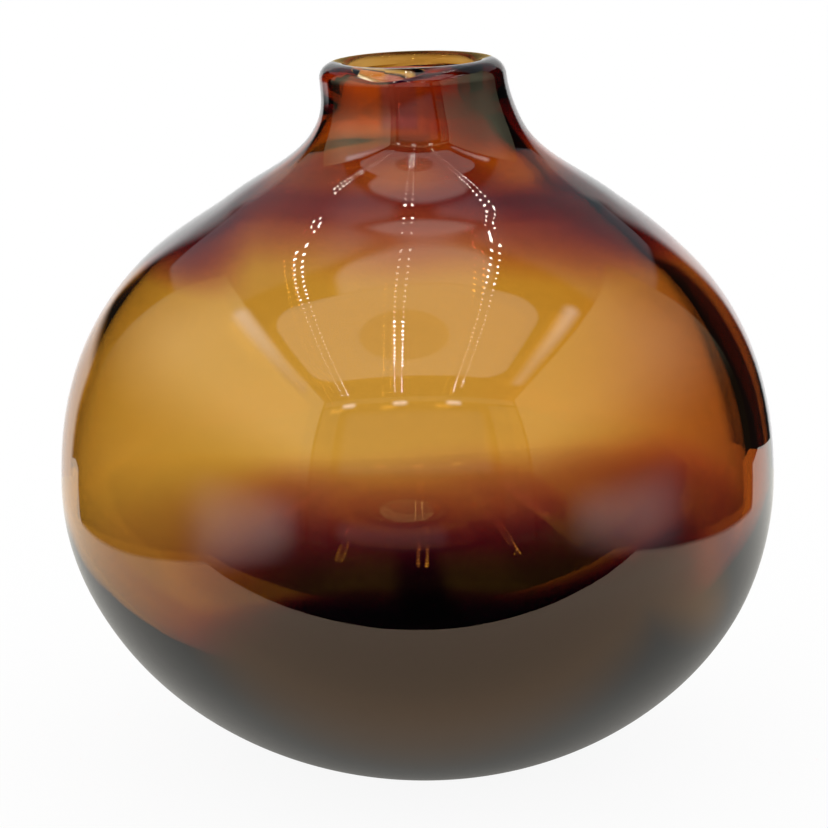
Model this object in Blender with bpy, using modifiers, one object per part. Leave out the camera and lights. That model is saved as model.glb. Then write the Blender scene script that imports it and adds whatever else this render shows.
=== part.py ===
"""Glass bud vase, as a Blender model in metres, +Z up.

A round hand-blown bottle with a short neck and a rolled lip. Its wall is cased glass, two layers fused hot:
an outer casing of pale amber glass that also makes the lip and the foot, and a thin layer of deep amber and
ruby glass that lines it and holds the water. The origin is the centre of the plane that the foot rests on.
"""

import math

import bpy
from mathutils import Vector

OBJECT_NAME = "glass_bud_vase"

# The outside. Below the widest ring (the equator) it is an ellipse cut off by the foot's plane. Above the
# equator two cubic curves make the domed shoulder and the neck's flare. They meet at the turn, where the
# outline stops bulging and starts to hollow.
BODY_RADIUS = 0.065
LOWER_HALF_AXIS = 0.0551
FOOT_RADIUS = 0.022
EQUATOR_HANDLE = 0.0347
TURN_RADIUS = 0.0351
TURN_ABOVE_EQUATOR = 0.0511
TURN_SLOPE = math.radians(53.2)
TURN_LOWER_HANDLE = 0.0094
TURN_UPPER_HANDLE = 0.0112
NECK_RADIUS = 0.0165
NECK_BASE_ABOVE_EQUATOR = 0.0729
NECK_HANDLE = 0.0132
LIP_ABOVE_EQUATOR = 0.0759

# The rounded, fire-polished lip. Its top is all casing glass, and it is rolled inwards to a thick bead.
LIP_OUTER_ROUND = 0.0025
LIP_INNER_ROUND = 0.0020
LIP_DEPTH = 0.0024
LIP_WALL = 0.0054
BEAD_HEIGHT = 0.0065

# The polished hollow in the middle of the foot, where the pontil iron was
PONTIL_RADIUS = 0.011
PONTIL_DEPTH = 0.0012

# The rest of the wall, which is thickest in the base
BODY_WALL = 0.0035
NECK_WALL = 0.0034
BASE_WALL = 0.0075
COLOUR_WALL = 0.0012
LAYER_GAP = 0.0003

# How finely the curves are cut up
TURN_STEPS = 40
FLARE_STEPS = 5
SHOULDER_STEPS = 7
LOWER_ARC_STEPS = 10
LIP_STEPS = 3
PONTIL_STEPS = 3
MERGE_DISTANCE = 0.00001

# Worked out from the sizes above
EQUATOR_HEIGHT = LOWER_HALF_AXIS * math.sqrt(1 - (FOOT_RADIUS / BODY_RADIUS) ** 2)
NECK_BASE = EQUATOR_HEIGHT + NECK_BASE_ABOVE_EQUATOR
LIP_TOP = EQUATOR_HEIGHT + LIP_ABOVE_EQUATOR
LIP_UNDERSIDE = LIP_TOP - LIP_DEPTH
BORE_RADIUS = NECK_RADIUS - LIP_WALL


def spread(first, last, steps):
    """Evenly spaced values from first to last, both included."""
    return [first + (last - first) * i / steps for i in range(steps + 1)]


def smooth(t):
    """0 to 1 with a level start and end."""
    t = min(max(t, 0.0), 1.0)
    return t * t * (3 - 2 * t)


def ellipse(half_width, half_height, angles):
    """Points of an ellipse round the equator's centre, at angles above the horizontal."""
    return [
        Vector((half_width * math.cos(a), EQUATOR_HEIGHT + half_height * math.sin(a)))
        for a in angles
    ]


def arc(centre, radius, angles):
    return [centre + radius * Vector((math.cos(a), math.sin(a))) for a in angles]


def cubic(p0, p1, p2, p3, t):
    u = 1 - t
    return u**3 * p0 + 3 * u * u * t * p1 + 3 * u * t * t * p2 + t**3 * p3


def flare_and_shoulder():
    """From the neck's base, where the outline is upright, down through the turn to the equator."""
    neck = Vector((NECK_RADIUS, NECK_BASE))
    turn = Vector((TURN_RADIUS, EQUATOR_HEIGHT + TURN_ABOVE_EQUATOR))
    equator = Vector((BODY_RADIUS, EQUATOR_HEIGHT))
    rising = Vector((-math.sin(TURN_SLOPE), math.cos(TURN_SLOPE)))
    above = neck - Vector((0, NECK_HANDLE)), turn + rising * TURN_UPPER_HANDLE
    below = turn - rising * TURN_LOWER_HANDLE, equator + Vector((0, EQUATOR_HANDLE))
    flare = [cubic(neck, *above, turn, t) for t in spread(0, 1, FLARE_STEPS)]
    shoulder = [cubic(turn, *below, equator, t) for t in spread(0, 1, SHOULDER_STEPS)]
    return flare + shoulder[1:]


def outside_above_equator(start_height):
    """The outside from start_height on the neck down to the equator."""
    return [Vector((NECK_RADIUS, start_height))] + flare_and_shoulder()


def moved_inwards(outline, distances):
    """An outline that runs down its outer side, moved square to itself towards the axis, each point by its own
    distance. A last point on the axis stays on it."""
    moved = []
    for i, (point, distance) in enumerate(zip(outline, distances)):
        above = outline[max(i - 1, 0)]
        if i + 1 < len(outline):
            below = outline[i + 1]
        elif point.x == 0:
            below = Vector((-above.x, above.y))
        else:
            below = point
        along = (below - above).normalized()
        moved.append(point + distance * Vector((along.y, -along.x)))
    if outline[-1].x == 0:
        moved[-1].x = 0
    return moved


def wall(height):
    """The wall's thickness above the equator."""
    up_the_body = smooth((height - EQUATOR_HEIGHT) / NECK_BASE_ABOVE_EQUATOR)
    up_the_bead = smooth((height - LIP_TOP + BEAD_HEIGHT) / (BEAD_HEIGHT - LIP_DEPTH))
    neck = BODY_WALL + (NECK_WALL - BODY_WALL) * up_the_body
    return neck + (LIP_WALL - NECK_WALL) * up_the_bead


def cavity():
    """The inner face of the glass, from just under the lip down to the middle of the cavity's floor."""
    outside = outside_above_equator(LIP_UNDERSIDE)
    walls = [wall(point.y) for point in outside]
    lower = ellipse(
        BODY_RADIUS - BODY_WALL,
        EQUATOR_HEIGHT - BASE_WALL,
        spread(0, -math.pi / 2, LOWER_ARC_STEPS),
    )
    lower[-1].x = 0
    return moved_inwards(outside, walls) + lower[1:]


def outside_of_cavity(distance):
    """The cavity's outline moved out into the glass."""
    inner = cavity()
    return moved_inwards(inner, [-distance] * len(inner))


def lip():
    """Over the lip, from the bore to the outside of the neck."""
    inner_centre = Vector((BORE_RADIUS + LIP_INNER_ROUND, LIP_TOP - LIP_INNER_ROUND))
    outer_centre = Vector((NECK_RADIUS - LIP_OUTER_ROUND, LIP_TOP - LIP_OUTER_ROUND))
    inner = arc(inner_centre, LIP_INNER_ROUND, spread(math.pi, math.pi / 2, LIP_STEPS))
    outer = arc(outer_centre, LIP_OUTER_ROUND, spread(math.pi / 2, 0, LIP_STEPS))
    return inner + outer


def foot():
    """From the foot ring's outer edge across the flat ring and up into the polished hollow to the axis."""
    radius = (PONTIL_RADIUS**2 + PONTIL_DEPTH**2) / (2 * PONTIL_DEPTH)
    centre = Vector((0, PONTIL_DEPTH - radius))
    edge = math.acos(PONTIL_RADIUS / radius)
    hollow = arc(centre, radius, spread(edge, math.pi / 2, PONTIL_STEPS))
    hollow[0].y = 0
    hollow[-1].x = 0
    return [Vector((FOOT_RADIUS, 0))] + hollow


def casing_outline():
    """From the axis up the face that meets the colour layer, over the lip, and down the outside to the foot."""
    inside = outside_of_cavity(COLOUR_WALL + LAYER_GAP)
    inside[0].y = LIP_UNDERSIDE + LAYER_GAP
    step = [Vector((BORE_RADIUS, LIP_UNDERSIDE + LAYER_GAP))]
    foot_angle = -math.acos(FOOT_RADIUS / BODY_RADIUS)
    below = ellipse(BODY_RADIUS, LOWER_HALF_AXIS, spread(0, foot_angle, LOWER_ARC_STEPS))
    above = outside_above_equator(LIP_UNDERSIDE)[1:-1]
    return inside[::-1] + step + lip() + above + below[:-1] + foot()


def colour_outline():
    outside = outside_of_cavity(COLOUR_WALL)
    outside[0].y = LIP_UNDERSIDE
    return cavity()[::-1] + outside


def glass(name, colour, roughness):
    material = bpy.data.materials.new(name)
    material.use_nodes = True
    shader = material.node_tree.nodes["Principled BSDF"]
    shader.inputs["Base Color"].default_value = (*colour, 1.0)
    shader.inputs["Metallic"].default_value = 0.0
    shader.inputs["Roughness"].default_value = roughness
    shader.inputs["IOR"].default_value = 1.5
    shader.inputs["Transmission Weight"].default_value = 0.9
    material.diffuse_color = (*colour, 1.0)
    return material


def turned(name, outline, material, collection):
    """A closed solid of revolution: the outline starts and ends on the axis and is swept once round it."""
    mesh = bpy.data.meshes.new(name)
    edges = [(i, i + 1) for i in range(len(outline) - 1)]
    mesh.from_pydata([(p.x, 0, p.y) for p in outline], edges, [])
    mesh.materials.append(material)
    piece = bpy.data.objects.new(name, mesh)
    collection.objects.link(piece)
    screw = piece.modifiers.new("turn", "SCREW")
    screw.axis = "Z"
    screw.angle = math.tau
    screw.steps = TURN_STEPS
    screw.render_steps = TURN_STEPS
    screw.use_merge_vertices = True
    screw.merge_threshold = MERGE_DISTANCE
    screw.use_smooth_shade = True
    return piece


def main():
    for old in list(bpy.data.objects):
        bpy.data.objects.remove(old, do_unlink=True)
    collection = bpy.data.collections.new(OBJECT_NAME)
    bpy.context.scene.collection.children.link(collection)
    pale = glass("casing_glass", (0.60, 0.42, 0.22), 0.02)
    deep = glass("colour_glass", (0.48, 0.16, 0.03), 0.02)
    turned("outer_casing", casing_outline(), pale, collection)
    turned("colour_layer", colour_outline(), deep, collection)


main()
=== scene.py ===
"""The looks of the glass bud vase: fine glass surfaces, coloured glass, and the studio it stands in."""

import math

import bpy
import numpy as np
from mathutils import Matrix, Vector


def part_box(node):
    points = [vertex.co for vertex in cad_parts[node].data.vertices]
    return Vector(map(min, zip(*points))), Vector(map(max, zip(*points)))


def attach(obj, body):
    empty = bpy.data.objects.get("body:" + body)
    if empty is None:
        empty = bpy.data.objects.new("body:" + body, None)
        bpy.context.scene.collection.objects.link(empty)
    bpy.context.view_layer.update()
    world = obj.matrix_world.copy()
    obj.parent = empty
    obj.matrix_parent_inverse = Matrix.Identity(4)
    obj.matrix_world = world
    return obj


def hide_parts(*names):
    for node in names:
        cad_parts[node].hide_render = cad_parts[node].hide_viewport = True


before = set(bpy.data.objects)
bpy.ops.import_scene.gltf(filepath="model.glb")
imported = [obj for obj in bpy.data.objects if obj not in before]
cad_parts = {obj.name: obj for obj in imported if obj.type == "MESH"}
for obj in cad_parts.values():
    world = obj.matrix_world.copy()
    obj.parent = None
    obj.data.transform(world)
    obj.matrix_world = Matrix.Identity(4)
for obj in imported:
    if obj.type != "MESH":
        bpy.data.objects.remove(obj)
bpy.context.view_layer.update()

# Sizes that come from the CAD model, in metres
casing_low, casing_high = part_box("outer_casing")
layer_low, layer_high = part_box("colour_layer")
RADIUS = (casing_high.x - casing_low.x) / 2
LIP_TOP = casing_high.z
LIP_UNDERSIDE = layer_high.z
LAYER_BOTTOM = layer_low.z
LAYER_RADIUS = (layer_high.x - layer_low.x) / 2

# The outline's proportions, as shares of the body's radius. Heights are above the equator, the widest ring.
LOWER_AXIS = 0.8477
FOOT = 0.3385
PONTIL = 0.169
PONTIL_DEPTH = 0.0185
EQUATOR_HANDLE = 0.5338
TURN_RADIUS = 0.54
TURN_RISE = 0.7862
TURN_SLOPE = math.radians(53.2)
TURN_LOWER_HANDLE = 0.1446
TURN_UPPER_HANDLE = 0.1723
NECK = 0.2538
NECK_BASE = 1.1215
NECK_HANDLE = 0.2031
LIP_OUTER_ROUND = 0.046
LIP_INNER_ROUND = 0.0308

# The equator's height above the foot, in metres
EQUATOR = LOWER_AXIS * RADIUS * math.sqrt(1 - FOOT**2)

# The wall, in metres
LIP_WALL = 0.0054
NECK_WALL = 0.0034
BEAD_HEIGHT = 0.010
COLOUR_WALL = 0.0012
BODY_WALL = RADIUS - LAYER_RADIUS + COLOUR_WALL
BASE_WALL = LAYER_BOTTOM + COLOUR_WALL
FUSED_GAP = 0.00002

# How far hand work has moved the glass from a true turned shape, in metres. The lip's tilt is a slope.
NECK_LEAN = 0.0010
BASE_LEAN = 0.0019
BODY_FORWARD = 0.0008
NECK_FORWARD = 0.0050
OFF_CENTRE = 0.0014
LIP_RISE = 0.00025
LIP_TILT = 0.018

# How finely the curves are cut up
TURN_STEPS = 288
FLARE_STEPS = 36
SHOULDER_STEPS = 44
LOWER_STEPS = 64
CAVITY_STEPS = 60
LIP_STEPS = 12
PONTIL_STEPS = 16

# The colour that each layer's glass lets through best, and how dense the glass is
CASING_GLASS = (0.933, 0.625, 0.0), 120.0
LAYER_GLASS = (0.837, 0.638, 0.0), 1125.0

# How much red, green and blue the struck ruby and the extra amber at the neck each take out, and what the
# amber drawn up over the lip's edge takes out. The painted shade in the film takes out colour in the struck
# ruby's shares.
RUBY_DEPTHS = 0.80, 1.85, 0.38
AMBER_DEPTHS = 0.06, 0.42, 1.30
BORE_DEPTHS = 0.6, 1.0, 2.0

# The lit room that the glass reflects, in metres from the middle of the foot
LEFT_WALL, RIGHT_WALL = -0.176, 0.191
FRONT_WALL, BACK_END = -0.30, 0.10
CEILING = EQUATOR + 0.228
LAMPS_NEAR, LAMPS_FAR = -0.277, 0.058

WHITE = 1.0, 1.0, 1.0
WARM = 1.0, 0.95, 0.64
COOL = 0.80, 0.90, 1.0
LAMP_WHITE = 1.0, 0.98, 0.94

# The camera, at a distance in body radii. The small angles aim it beside the middle of the vase.
CAMERA_DISTANCE = 8
CAMERA_ELEVATION = math.radians(14)
CAMERA_ROLL = math.radians(-0.87)
AIM_UP = math.radians(1.174)
AIM_ASIDE = math.radians(0.081)
FOCAL_LENGTH = 122.8
FILM_WIDTH = 36


def smooth(t):
    """0 to 1 with a level start and end."""
    t = np.clip(t, 0.0, 1.0)
    return t * t * (3 - 2 * t)


def show(obj):
    """Puts an object in the scene."""
    bpy.context.scene.collection.objects.link(obj)
    return obj


# ---- outlines: arrays of (radius, height), one row for each point ----


def ellipse(half_width, half_height, first, last, steps):
    """Part of an ellipse round the equator's centre, between two angles above the horizontal."""
    angle = np.linspace(first, last, steps + 1)
    return np.column_stack((half_width * np.cos(angle), EQUATOR + half_height * np.sin(angle)))


def arc(centre, radius, first, last, steps):
    angle = np.linspace(first, last, steps + 1)
    return np.column_stack((centre[0] + radius * np.cos(angle), centre[1] + radius * np.sin(angle)))


def cubic(p0, p1, p2, p3, steps):
    t = np.linspace(0, 1, steps + 1)[:, None]
    u = 1 - t
    return u**3 * p0 + 3 * u * u * t * p1 + 3 * u * t * t * p2 + t**3 * p3


def outside_above_equator():
    """Down the outside from the level of the lip's underside, through the neck's flare, to the equator."""
    neck = np.array((NECK * RADIUS, EQUATOR + NECK_BASE * RADIUS))
    turn = np.array((TURN_RADIUS * RADIUS, EQUATOR + TURN_RISE * RADIUS))
    widest = np.array((RADIUS, EQUATOR))
    rising = np.array((-math.sin(TURN_SLOPE), math.cos(TURN_SLOPE))) * RADIUS
    upright = np.array((0, RADIUS))
    above_turn = neck - NECK_HANDLE * upright, turn + TURN_UPPER_HANDLE * rising
    below_turn = turn - TURN_LOWER_HANDLE * rising, widest + EQUATOR_HANDLE * upright
    flare = cubic(neck, *above_turn, turn, FLARE_STEPS)
    shoulder = cubic(turn, *below_turn, widest, SHOULDER_STEPS)
    start = np.array([(NECK * RADIUS, LIP_UNDERSIDE)])
    return np.vstack((start, flare, shoulder[1:]))


def moved_inwards(outline, distance):
    """An outline that runs down its outer side, moved square to itself towards the axis."""
    padded = np.vstack((outline[:1], outline, outline[-1:]))
    if outline[-1, 0] == 0:
        padded[-1] = (-outline[-2, 0], outline[-2, 1])
    along = padded[2:] - padded[:-2]
    along /= np.linalg.norm(along, axis=1)[:, None]
    inwards = np.column_stack((along[:, 1], -along[:, 0]))
    moved = outline + np.reshape(distance, (-1, 1)) * inwards
    if outline[-1, 0] == 0:
        moved[-1, 0] = 0
    return moved


def wall(height):
    """The wall's thickness at each height from the equator up."""
    up_the_body = smooth((height - EQUATOR) / (NECK_BASE * RADIUS))
    bead_start = LIP_TOP - BEAD_HEIGHT
    up_the_bead = smooth((height - bead_start) / (LIP_UNDERSIDE - bead_start))
    neck = BODY_WALL + (NECK_WALL - BODY_WALL) * up_the_body
    return neck + (LIP_WALL - NECK_WALL) * up_the_bead


def cavity():
    """The inner face of the glass, from the lip's underside down to the middle of the cavity's floor."""
    outside = outside_above_equator()
    upper = moved_inwards(outside, wall(outside[:, 1]))
    lower = ellipse(RADIUS - BODY_WALL, EQUATOR - BASE_WALL, 0, -math.pi / 2, CAVITY_STEPS)
    lower[-1, 0] = 0
    return np.vstack((upper, lower[1:]))


def fused_face(depth):
    """The face where the two layers join, depth away from the cavity."""
    face = moved_inwards(cavity(), -depth)
    face[0, 1] = LIP_UNDERSIDE
    return face


def lip(bore):
    """Over the lip, from the bore to the outside of the neck."""
    inner_round = LIP_INNER_ROUND * RADIUS
    outer_round = LIP_OUTER_ROUND * RADIUS
    inner_centre = bore + inner_round, LIP_TOP - inner_round
    outer_centre = NECK * RADIUS - outer_round, LIP_TOP - outer_round
    inner = arc(inner_centre, inner_round, math.pi, math.pi / 2, LIP_STEPS)
    outer = arc(outer_centre, outer_round, math.pi / 2, 0, LIP_STEPS)
    return np.vstack((inner, outer))


def foot():
    """The flat ring and the shallow polished hollow inside it, from the ring's outer edge to the axis."""
    edge = PONTIL * RADIUS
    depth = PONTIL_DEPTH * RADIUS
    radius = (edge**2 + depth**2) / (2 * depth)
    hollow = arc((0, depth - radius), radius, math.acos(edge / radius), math.pi / 2, PONTIL_STEPS)
    hollow[-1, 0] = 0
    ring = np.array([(FOOT * RADIUS, 0), ((FOOT + PONTIL) * RADIUS / 2, 0)])
    return np.vstack((ring, hollow))


def casing_outline():
    """The casing's closed outline, and how many of its first stretches are fused to the colour layer."""
    bore = cavity()[0, 0]
    inside = fused_face(COLOUR_WALL + FUSED_GAP)[::-1]
    inside[-1, 1] += FUSED_GAP
    step = np.array([(bore, LIP_UNDERSIDE + FUSED_GAP)])
    above = outside_above_equator()[1:-1]
    below = ellipse(RADIUS, LOWER_AXIS * RADIUS, 0, -math.acos(FOOT), LOWER_STEPS)
    return np.vstack((inside, step, lip(bore), above, below[:-1], foot())), len(inside)


def layer_outline():
    """The colour layer's closed outline, and how many of its first stretches face the cavity."""
    inside = cavity()[::-1]
    return np.vstack((inside, fused_face(COLOUR_WALL))), len(inside) - 1


# ---- surfaces ----


def hand_blown(points, depth):
    """Small departures from a true turned shape, made in place: x, y and z are views of the points, so they
    follow each move. depth is 0 on the outside and 1 in the cavity."""
    x, y, z = points.T
    angle = np.arctan2(y, x)
    height = (z - EQUATOR) / RADIUS
    above_foot = smooth(z / (0.25 * RADIUS))
    lean = NECK_LEAN * (smooth((height - 0.62) / 0.18) - smooth((height - 1.0) / 0.16))
    base_lean = -BASE_LEAN * height * smooth(-height / 0.4)
    share_up = np.clip((height - 0.82) / 0.36, 0, 1)
    up_the_neck = 1 - (1 - share_up) ** 4 * (1 + 4 * share_up)
    forward = BODY_FORWARD * smooth(height / 0.8) + NECK_FORWARD * up_the_neck
    forward *= 0.7 - 0.3 * np.sin(angle)
    waves = 0.00016 * np.sin(2 * angle + 0.7 + 1.5 * height)
    waves += 0.00007 * np.sin(3 * angle - 1.9 + 4 * height)
    waves += 0.00003 * np.sin(5 * angle + 0.4 - 7 * height + 2 * depth)
    waves += 0.00012 * np.sin(4 * angle + 2.2 + 6 * height) * depth
    waves *= np.minimum(np.hypot(x, y) / (0.3 * RADIUS), 1.0)
    x += above_foot * (lean + waves * np.cos(angle)) + base_lean - OFF_CENTRE * depth
    y += above_foot * (waves * np.sin(angle) - forward)
    z += (LIP_RISE + LIP_TILT * x) * up_the_neck
    bore_edge = depth * smooth(1 - np.abs(z - LIP_UNDERSIDE) / 0.0012)
    dip = 0.0002 + 0.0001 * np.sin(3 * angle) + 0.0003 * np.exp(-(((angle + 1.95) / 0.4) ** 2))
    z -= bore_edge * dip


def ring_faces(rings):
    """Quads between the rings of points, and a fan at each end round a point on the axis. These two points
    come last."""
    here = np.arange(TURN_STEPS)
    after = (here + 1) % TURN_STEPS
    first_end = rings * TURN_STEPS
    last_end = first_end + 1
    last_ring = first_end - TURN_STEPS
    faces = [(first_end, a, b) for a, b in zip(here, after)]
    for low in range(0, last_ring, TURN_STEPS):
        high = low + TURN_STEPS
        faces += zip(low + here, high + here, high + after, low + after)
    faces += [(last_end, last_ring + a, last_ring + b) for a, b in zip(after, here)]
    return [tuple(int(i) for i in face) for face in faces]


def turned(name, outline, fused, depth):
    """A closed surface of revolution. The face attribute 'fused' marks the stretches that touch the other
    layer."""
    rings = outline[1:-1]
    angle = np.arange(TURN_STEPS) * math.tau / TURN_STEPS
    x = rings[:, :1] * np.cos(angle)
    y = rings[:, :1] * np.sin(angle)
    z = np.repeat(rings[:, 1:], TURN_STEPS, axis=1)
    ends = [(0, 0, outline[0, 1]), (0, 0, outline[-1, 1])]
    points = np.vstack((np.stack((x, y, z), axis=-1).reshape(-1, 3), ends))
    hand_blown(points, np.append(np.repeat(depth[1:-1], TURN_STEPS), (depth[0], depth[-1])))
    mesh = bpy.data.meshes.new(name)
    mesh.from_pydata(points.tolist(), [], ring_faces(len(rings)))
    marks = mesh.attributes.new("fused", "FLOAT", "FACE")
    marks.data.foreach_set("value", np.repeat(fused, TURN_STEPS).astype(np.float32))
    mesh.shade_smooth()
    mesh.set_sharp_from_angle(angle=math.radians(35))
    mesh.update()
    return show(bpy.data.objects.new(name, mesh))


def build_casing():
    outline, joined = casing_outline()
    stretch = np.arange(len(outline) - 1)
    depth = np.where(np.arange(len(outline)) <= joined, 1.0, 0.0)
    return turned("casing_glass", outline, stretch < joined, depth)


def build_layer():
    outline, open_stretches = layer_outline()
    stretch = np.arange(len(outline) - 1)
    return turned("colour_glass", outline, stretch >= open_stretches, np.ones(len(outline)))


# ---- materials ----


class Nodes:
    """Shorthand for building one node tree."""

    def __init__(self, tree):
        self.tree = tree
        tree.nodes.clear()

    def add(self, kind, inputs=(), **settings):
        node = self.tree.nodes.new(kind)
        for key, value in settings.items():
            setattr(node, key, value)
        for key, value in dict(inputs).items():
            if isinstance(value, bpy.types.NodeSocket):
                self.tree.links.new(value, node.inputs[key])
            else:
                node.inputs[key].default_value = value
        return node

    def math(self, operation, *values):
        return self.add("ShaderNodeMath", dict(enumerate(values)), operation=operation).outputs[0]

    def product(self, first, *others):
        for other in others:
            first = self.math("MULTIPLY", first, other)
        return first

    def total(self, first, *others):
        for other in others:
            first = self.math("ADD", first, other)
        return first

    def vector(self, operation, *values):
        node = self.add("ShaderNodeVectorMath", dict(enumerate(values)), operation=operation)
        return node.outputs["Value" if operation in ("LENGTH", "DOT_PRODUCT") else "Vector"]

    def scaled(self, colour, amount):
        node = self.add("ShaderNodeVectorMath", {0: colour, "Scale": amount}, operation="SCALE")
        return node.outputs["Vector"]

    def ramp(self, value, start, end, low=0.0, high=1.0, kind="SMOOTHSTEP"):
        """Goes from low to high as value goes from start to end."""
        inputs = {"Value": value, "From Min": start, "From Max": end, "To Min": low, "To Max": high}
        return self.add("ShaderNodeMapRange", inputs, interpolation_type=kind).outputs[0]

    def point(self, rig=None):
        """The shaded point in its object's own axes, or in the rig's."""
        return self.add("ShaderNodeTexCoord", object=rig).outputs["Object"]

    def place(self):
        """The shaded point's x and y, and its height above the equator."""
        axes = self.add("ShaderNodeSeparateXYZ", {0: self.point()}).outputs
        return axes[0], axes[1], self.math("SUBTRACT", axes[2], EQUATOR)

    def through(self, depths):
        """The colour that glass lets through, from its depth in red, green and blue."""
        shares = [self.math("EXPONENT", self.math("MULTIPLY", depth, -1.0)) for depth in depths]
        return self.add("ShaderNodeCombineColor", dict(enumerate(shares))).outputs[0]


def new_material(name):
    material = bpy.data.materials.new(name)
    material.use_nodes = True
    return material, Nodes(material.node_tree)


def base_bands_and_shade(n, x, level):
    """A blush under the equator, and below it a deep band that fades out towards both sides: struck ruby that
    painted shade deepens in the middle, where the camera sees the shadowed floor through the base.
    """
    tilted = n.math("MULTIPLY_ADD", x, -0.07, level)
    blush = n.product(n.ramp(tilted, -0.006, -0.020, 0.0, 0.75), n.ramp(x, -0.052, -0.025, 0.2, 1.0))
    to_the_left = n.ramp(x, -0.052, -0.010, 0.05, 1.0)
    to_the_right = n.ramp(x, 0.030, 0.050, 1.0, 0.04)
    # Struck ruby deepened by painted shade, darkest in the middle where the camera looks through the base
    deep_and_shade = n.product(n.ramp(tilted, -0.017, -0.036, 0.0, 3.7), to_the_left, to_the_right)
    return n.total(blush, deep_and_shade)


def shoulder_band(n, x, height, level):
    """A band round the shoulder that drops towards the right, with a second patch on its left."""
    tilted = n.math("MULTIPLY_ADD", x, 0.10, level)
    band = n.product(n.ramp(tilted, 0.0415, 0.0530, 0.0, 0.95), n.ramp(height, 0.0515, 0.0560, 1.0, 0.2))
    patch = n.product(n.ramp(x, -0.026, -0.040), n.ramp(height, 0.038, 0.046, 0.0, 1.3))
    return n.total(band, patch)


def front_painted_shade(n, x, y, level):
    """Painted shade: the darkest patch, low on the front, where the camera sees the floor in the vase's
    shadow through the glass.
    """
    tilted = n.math("MULTIPLY_ADD", x, -0.12, level)
    across = n.product(n.ramp(x, -0.040, -0.015), n.ramp(x, 0.050, 0.036))
    return n.product(n.ramp(tilted, -0.003, -0.009, 0.0, 3.5), n.ramp(y, -0.030, -0.042), across)


def right_side(n, x, height):
    """A little more strike on the right, most of it on the neck."""
    neck = n.product(n.ramp(x, 0.002, 0.010, 0.0, 0.70), n.ramp(height, 0.058, 0.064))
    return n.total(n.ramp(x, 0.028, 0.060, 0.0, 0.2), neck)


def neck_window_shade(n, x, height):
    """Painted shade: 1 in a narrow streak up the middle of the neck, facing the camera, where extra ruby
    copies the dark window that the neck's front reflects.
    """
    away = n.math("ABSOLUTE", n.math("ADD", x, 0.0012))
    return n.product(n.ramp(away, 0.0048, 0.0034), n.ramp(height, 0.060, 0.064))


def film_colour(n):
    """What the fused face lets through: amber glass that heat has struck to ruby in places, and extra amber
    at the neck, where the gather was thickest. Painted shade darkens it further low on the front, in the
    middle of the base and in a streak up the neck.
    It is darker where light crosses it at a slant."""
    x, y, height = n.place()
    noise = n.add("ShaderNodeTexNoise", {"Vector": n.point(), "Scale": 22.0, "Detail": 1.5, "Roughness": 0.4})
    uneven = n.math("MULTIPLY_ADD", noise.outputs[0], 0.016, -0.008)
    level = n.total(height, uneven)
    # Painted shade: extra ruby in a streak up the neck's middle, for the dark window seen there
    window_shade = neck_window_shade(n, x, height)
    # Struck ruby bands, with painted shade in the base and low on the front
    bands_and_shade = n.total(base_bands_and_shade(n, x, level), shoulder_band(n, x, height, level), front_painted_shade(n, x, y, level))
    ruby_and_shade = n.total(bands_and_shade, right_side(n, x, height), n.product(window_shade, 0.36))
    amber = n.product(n.ramp(height, 0.052, 0.067), n.math("SUBTRACT", 1.0, window_shade))
    geometry = n.add("ShaderNodeNewGeometry").outputs
    facing = n.vector("DOT_PRODUCT", geometry["Incoming"], geometry["Normal"])
    slant = n.math("MAXIMUM", n.math("ABSOLUTE", facing), 0.15)
    ruby_and_shade = n.math("DIVIDE", ruby_and_shade, slant)
    amber = n.math("DIVIDE", amber, slant)
    depths = [n.total(n.product(ruby_and_shade, a), n.product(amber, b)) for a, b in zip(RUBY_DEPTHS, AMBER_DEPTHS)]
    return n.through(depths)


def bore_colour(n):
    """The colour that light takes as it crosses the lip's bore, where amber is drawn up over the edge."""
    height = n.place()[2]
    away = n.vector("LENGTH", n.vector("MULTIPLY", n.point(), (1, 1, 0)))
    depth = n.product(n.ramp(away, 0.0146, 0.0134), n.ramp(height, 0.060, 0.065))
    return n.through([n.product(depth, share) for share in BORE_DEPTHS])


def glass_material(name, glass, has_film):
    """Glass with a faint ripple. Its fused faces bend no light. On the colour layer they carry the film, and
    the casing's bore is tinted instead."""
    tint, density = glass
    material, n = new_material(name)
    ripple = n.add("ShaderNodeTexNoise", {"Vector": n.point(), "Scale": 60.0, "Detail": 1.0})
    bump = n.add("ShaderNodeBump", {"Strength": 0.05, "Distance": 0.001, "Height": ripple.outputs[0]})
    clear = n.add("ShaderNodeBsdfGlass", {"Roughness": 0.0, "IOR": 1.5, "Normal": bump.outputs[0]})
    film = n.add("ShaderNodeBsdfTransparent")
    if has_film:
        n.tree.links.new(film_colour(n), film.inputs["Color"])
    else:
        n.tree.links.new(bore_colour(n), clear.inputs["Color"])
    fused = n.add("ShaderNodeAttribute", attribute_name="fused").outputs["Fac"]
    surface = n.add("ShaderNodeMixShader", {0: fused, 1: clear.outputs[0], 2: film.outputs[0]})
    volume = n.add("ShaderNodeVolumeAbsorption", {"Color": (*tint, 1), "Density": density})
    n.add("ShaderNodeOutputMaterial", {"Surface": surface.outputs[0], "Volume": volume.outputs[0]})
    return material


# ---- the studio ----


def light_object(name, rig, mesh):
    """A glowing surface that rides on the rig and is seen only in the glass."""
    obj = show(bpy.data.objects.new(name, mesh))
    obj.parent = rig
    obj.visible_camera = False
    obj.visible_diffuse = False
    obj.visible_shadow = False
    return obj


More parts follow.
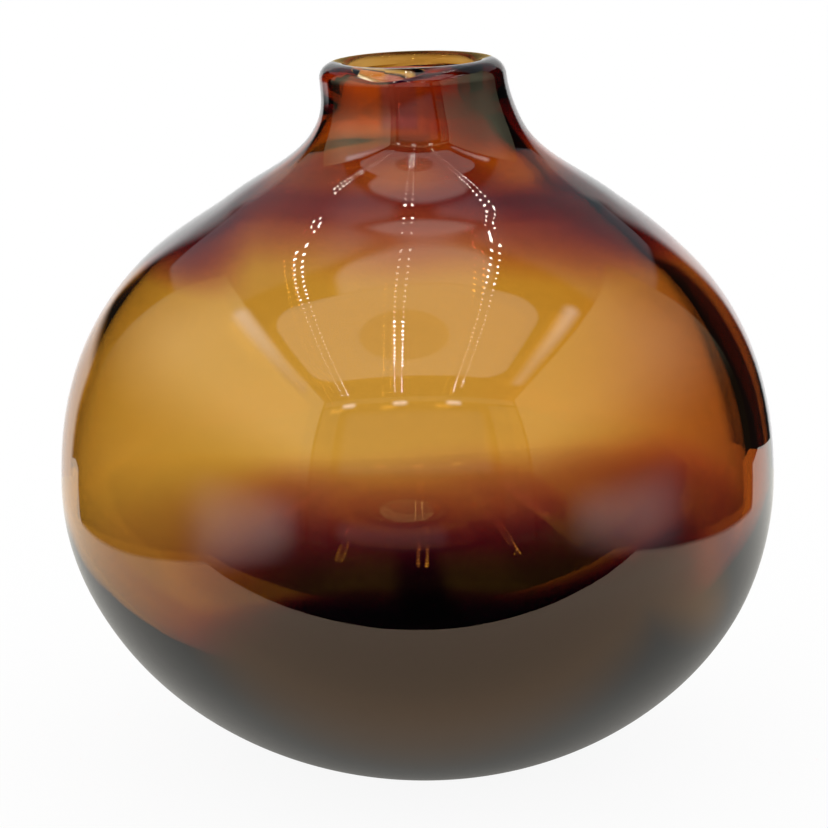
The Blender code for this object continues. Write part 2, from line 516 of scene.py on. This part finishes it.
def card_object(name, rig, low, high):
    """A flat rectangle between two corners. One of its three sizes is zero."""
    wide = [axis for axis in range(3) if high[axis] > low[axis]]
    corners = []
    for ends in ((low, low), (high, low), (high, high), (low, high)):
        point = list(low)
        for axis, end in zip(wide, ends):
            point[axis] = end[axis]
        corners.append(point)
    mesh = bpy.data.meshes.new(name)
    mesh.from_pydata(corners, [], [(0, 1, 2, 3)])
    return light_object(name, rig, mesh)


def soft_edge(n, where, centre, half, corner, feather):
    """1 inside a rounded rectangle and 0 outside it, with a soft edge just inside its outline."""
    offset = n.vector("ABSOLUTE", n.vector("SUBTRACT", where, centre))
    inner = [max(side - corner, 0) if side else 1.0 for side in half]
    beyond = n.vector("MAXIMUM", n.vector("SUBTRACT", offset, inner), (0, 0, 0))
    return n.ramp(n.math("SUBTRACT", n.vector("LENGTH", beyond), corner), 0.0, -feather)


def card(name, rig, x, y, z, colour, strength, corner=0.002, feather=0.002, fades=(), hole=None):
    """A light card. Two of x, y and z are extents and one is a single place. Each of fades is an axis, two
    places on it, and the shares of the light there. hole is the x, y and radius of a round dim patch."""
    extents = [extent if isinstance(extent, tuple) else (extent, extent) for extent in (x, y, z)]
    low, high = zip(*extents)
    obj = card_object(name, rig, low, high)
    material, n = new_material(name)
    where = n.point(rig)
    centre = [(a + b) / 2 for a, b in extents]
    half = [(b - a) / 2 for a, b in extents]
    lit = soft_edge(n, where, centre, half, corner, feather)
    if hole:
        hole_x, hole_y, hole_radius = hole
        away = n.vector("LENGTH", n.vector("SUBTRACT", where, (hole_x, hole_y, z)))
        lit = n.product(lit, n.ramp(away, hole_radius, hole_radius + 0.006, 0.5, 1.0))
    axes = n.add("ShaderNodeSeparateXYZ", {0: where}).outputs
    power = strength
    for axis, start, end, start_share, end_share in fades:
        power = n.product(power, n.ramp(axes["XYZ".index(axis)], start, end, start_share, end_share))
    light = n.add("ShaderNodeEmission", {"Color": (*colour, 1), "Strength": power})
    clear = n.add("ShaderNodeBsdfTransparent")
    mix = n.add("ShaderNodeMixShader", {0: lit, 1: clear.outputs[0], 2: light.outputs[0]})
    n.add("ShaderNodeOutputMaterial", {"Surface": mix.outputs[0]})
    obj.data.materials.append(material)


def build_walls(rig):
    """The far backdrop, which the glass is seen against, and the walls of the room."""
    card("backdrop", rig, (-0.145, 0.155), 0.205, (-0.05, 0.24), WHITE, 1.0, 0.03, 0.03,
         [("Z", 0.13, 0.17, 1.0, 0.6)])
    card("backdrop_foot", rig, (-0.24, 0.155), 0.206, (-0.05, 0.10), WHITE, 0.9, 0.03, 0.03)
    for name, x, strength in (("left_wall", LEFT_WALL, 1.8), ("right_wall", RIGHT_WALL, 1.2)):
        card(name, rig, x, (FRONT_WALL + 0.004, BACK_END), (0, CEILING), WARM, strength, 0.006, 0.006,
             [("Z", 0.08, 0.175, 0.05, 1.0), ("Y", BACK_END, -0.03, 0.35, 1.0)])
    for name, x in (("front_left", (LEFT_WALL, -0.136)), ("front_right", (0.131, RIGHT_WALL))):
        card(name, rig, x, FRONT_WALL, (0, 0.257), WARM, 0.5, fades=[("Z", 0.10, 0.16, 0.15, 1.0)])
    card("front_low", rig, (-0.13, 0.05), FRONT_WALL, (0.0, 0.045), COOL, 0.3, 0.022, 0.022)
    card("front_top", rig, (LEFT_WALL, RIGHT_WALL), FRONT_WALL, (0.262, CEILING), WARM, 0.6)


def build_ceiling(rig):
    """A bright panel with a dim round patch in it, and behind it a smaller panel and two wide pale ones."""
    card("panel", rig, (-0.162, 0.138), (-0.232, -0.042), CEILING, WHITE, 1.3, 0.04, 0.006,
         hole=(-0.013, -0.136, 0.048))
    card("back_panel", rig, (-0.075, 0.074), (-0.068, 0.008), CEILING + 0.001, WHITE, 1.4, 0.026, 0.011)
    card("ceiling_left", rig, (-0.30, -0.012), (0.0, 0.40), CEILING + 0.002, COOL, 0.65, 0.02, 0.02,
         [("X", -0.10, -0.06, 0.5, 1.0)])
    card("ceiling_right", rig, (0.006, 0.30), (0.0, 0.40), CEILING + 0.002, COOL, 0.65, 0.02, 0.02,
         [("X", 0.09, 0.05, 0.5, 1.0)])


def build_highlights(rig):
    """A pale card in front, a bright streak along each side of the ceiling, three glints at its front edge,
    and a pale patch low on each wall."""
    card("front_middle", rig, (-0.130, 0.125), FRONT_WALL, (0.10, 0.245), COOL, 0.4, 0.02, 0.02)
    card("left_streak", rig, LEFT_WALL + 0.001, (-0.235, 0.005), (0.236, 0.285), WHITE, 4.0, 0.024, 0.023,
         [("Y", -0.20, -0.03, 0.4, 1.0)])
    card("right_streak", rig, (0.150, 0.190), (-0.250, -0.015), CEILING, WHITE, 3.4, 0.020, 0.020,
         [("Y", -0.20, -0.03, 0.5, 1.0)])
    for name, x in (("left_glint", -0.121), ("middle_glint", -0.027), ("right_glint", 0.065)):
        card(name, rig, (x - 0.018, x + 0.018), FRONT_WALL + 0.002, (0.246, 0.270), WHITE, 7.0, 0.012, 0.012)
    card("left_patch", rig, LEFT_WALL + 0.004, (-0.299, -0.06), (-0.02, 0.085), COOL, 1.4, 0.050, 0.050,
         [("Y", -0.29, -0.19, 0.1, 1.0), ("Y", -0.06, -0.14, 0.1, 1.0)])
    card("right_patch", rig, RIGHT_WALL - 0.004, (-0.24, -0.02), (-0.01, 0.080), COOL, 1.1, 0.044, 0.044,
         [("Y", -0.23, -0.15, 0.1, 1.0), ("Y", -0.02, -0.10, 0.1, 1.0)])


def lamp_row(name, rig, near, far, first, last, strength):
    """Part of a double row of small bright lamps under the ceiling. The row goes from near the camera to far
    from it, and first and last are shares of its length. Its two lines draw together towards the far end."""
    half = 0.0011
    pitch = 0.0085
    z = CEILING - 0.002
    start = Vector(near)
    along = Vector(far) - start
    across = Vector((along.y, -along.x)).normalized()
    count = int(along.length / pitch)
    corners = []
    for side in (-1, 1):
        for i in range(math.ceil(count * first), math.ceil(count * last)):
            share = i / count
            x, y = start + along * share + across * side * (0.0058 - 0.0023 * share)
            corners += [(x - half, y - half, z), (x + half, y - half, z)]
            corners += [(x + half, y + half, z), (x - half, y + half, z)]
    mesh = bpy.data.meshes.new(name)
    mesh.from_pydata(corners, [], [(i, i + 1, i + 2, i + 3) for i in range(0, len(corners), 4)])
    material, n = new_material(name)
    light = n.add("ShaderNodeEmission", {"Color": (*LAMP_WHITE, 1), "Strength": strength})
    n.add("ShaderNodeOutputMaterial", {"Surface": light.outputs[0]})
    mesh.materials.append(material)
    light_object(name, rig, mesh)


def build_lamps(rig):
    """Three double rows of lamps. Each stretch is two shares of the row's length and how bright it is."""
    outer = (0.0, 0.14, 40), (0.14, 0.70, 7), (0.70, 1.0, 40)
    middle = (0.0, 0.14, 40), (0.14, 0.22, 7), (0.22, 0.52, 90), (0.52, 0.84, 7), (0.84, 1.0, 60)
    rows = (
        ("left_lamps", -0.126, -0.097, outer),
        ("middle_lamps", -0.029, -0.006, middle),
        ("right_lamps", 0.069, 0.067, outer),
    )
    for name, near_x, far_x, stretches in rows:
        for first, last, strength in stretches:
            lamp_row(name, rig, (near_x, LAMPS_NEAR), (far_x, LAMPS_FAR), first, last, strength)


def build_sheet(rig):
    """The white sheet under the vase as its glass sees it: in the vase's soft shadow near the foot, and lit
    warmly in front and on the right, where light has come through the amber glass."""
    obj = card_object("sheet", rig, (-0.30, -0.108, -0.0001), (0.30, 0.26, -0.0001))
    material, n = new_material("sheet")
    where = n.point(rig)
    axes = n.add("ShaderNodeSeparateXYZ", {0: where}).outputs
    away = n.vector("LENGTH", n.vector("SUBTRACT", where, (0.01, 0.05, 0)))
    open_light = n.ramp(away, 0.0, 0.168, 0.03, 1.0, kind="LINEAR")
    contact = n.ramp(n.vector("LENGTH", where), 0.018, 0.055, 0.45, 1.0)
    room_light = n.scaled((1.0, 0.98, 0.92), n.product(open_light, contact))
    in_front = n.ramp(axes[1], -0.030, -0.062)
    to_the_right = n.product(n.ramp(axes[0], 0.070, 0.105), n.ramp(axes[1], 0.03, -0.02))
    amber_light = n.scaled((0.66, 0.26, 0.0), n.math("MAXIMUM", in_front, to_the_right))
    light = n.add("ShaderNodeEmission", {"Color": n.vector("ADD", room_light, amber_light), "Strength": 1.0})
    n.add("ShaderNodeOutputMaterial", {"Surface": light.outputs[0]})
    obj.data.materials.append(material)


def build_rig(camera):
    """The light cards and lamps. They turn with the camera, so that every side is lit alike."""
    rig = show(bpy.data.objects.new("light_rig", None))
    follow = rig.constraints.new("COPY_ROTATION")
    follow.target = camera
    follow.use_x = False
    follow.use_y = False
    build_sheet(rig)
    build_walls(rig)
    build_ceiling(rig)
    build_highlights(rig)
    build_lamps(rig)


def build_floor():
    """A pale floor, mostly glowing so that it stays near white. The glass sees the sheet in its place."""
    size = 6.0
    corners = [(-size, -size, 0), (size, -size, 0), (size, size, 0), (-size, size, 0)]
    mesh = bpy.data.meshes.new("floor")
    mesh.from_pydata(corners, [], [(0, 1, 2, 3)])
    material, n = new_material("pale_floor")
    paint = n.add("ShaderNodeBsdfDiffuse", {"Color": (0.93, 0.93, 0.93, 1)})
    glow = n.add("ShaderNodeEmission", {"Color": (1, 1, 1, 1), "Strength": 1.0})
    mix = n.add("ShaderNodeMixShader", {0: 0.92, 1: paint.outputs[0], 2: glow.outputs[0]})
    n.add("ShaderNodeOutputMaterial", {"Surface": mix.outputs[0]})
    mesh.materials.append(material)
    floor = show(bpy.data.objects.new("floor", mesh))
    floor.location.z = -0.0002
    floor.visible_glossy = False
    floor.visible_transmission = False


def build_world():
    """White to the camera and to the floor, nearly dark to the glass, which sees the light cards."""
    world = bpy.data.worlds.new("studio")
    world.use_nodes = True
    bpy.context.scene.world = world
    n = Nodes(world.node_tree)
    path = n.add("ShaderNodeLightPath").outputs
    seen = n.math("MAXIMUM", path["Is Camera Ray"], path["Is Diffuse Ray"])
    strength = n.math("MULTIPLY_ADD", seen, 1.08, 0.012)
    light = n.add("ShaderNodeBackground", {"Color": (1, 1, 1, 1), "Strength": strength})
    n.add("ShaderNodeOutputWorld", {"Surface": light.outputs[0]})


def build_camera():
    """A long lens, a little above the vase and looking slightly down."""
    data = bpy.data.cameras.new("camera")
    data.sensor_width = FILM_WIDTH
    data.lens = FOCAL_LENGTH
    data.clip_start = 0.01
    camera = show(bpy.data.objects.new("camera", data))
    distance = CAMERA_DISTANCE * RADIUS
    back = -distance * math.cos(CAMERA_ELEVATION)
    up = EQUATOR + distance * math.sin(CAMERA_ELEVATION)
    look = Matrix.Rotation(math.pi / 2 - CAMERA_ELEVATION, 4, "X")
    roll = Matrix.Rotation(CAMERA_ROLL, 4, "Z")
    aim = Matrix.Rotation(AIM_UP, 4, "X") @ Matrix.Rotation(AIM_ASIDE, 4, "Y")
    camera.matrix_world = Matrix.Translation((0, back, up)) @ look @ roll @ aim
    bpy.context.scene.camera = camera
    return camera


# ---- the vase and its surroundings ----

casing = build_casing()
casing.data.materials.append(glass_material("pale_amber_glass", CASING_GLASS, has_film=False))
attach(casing, "root")
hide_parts("outer_casing")

layer = build_layer()
layer.data.materials.append(glass_material("deep_amber_glass", LAYER_GLASS, has_film=True))
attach(layer, "root")
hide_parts("colour_layer")

build_floor()
build_world()
build_rig(build_camera())
bpy.context.scene.view_settings.view_transform = "Standard"
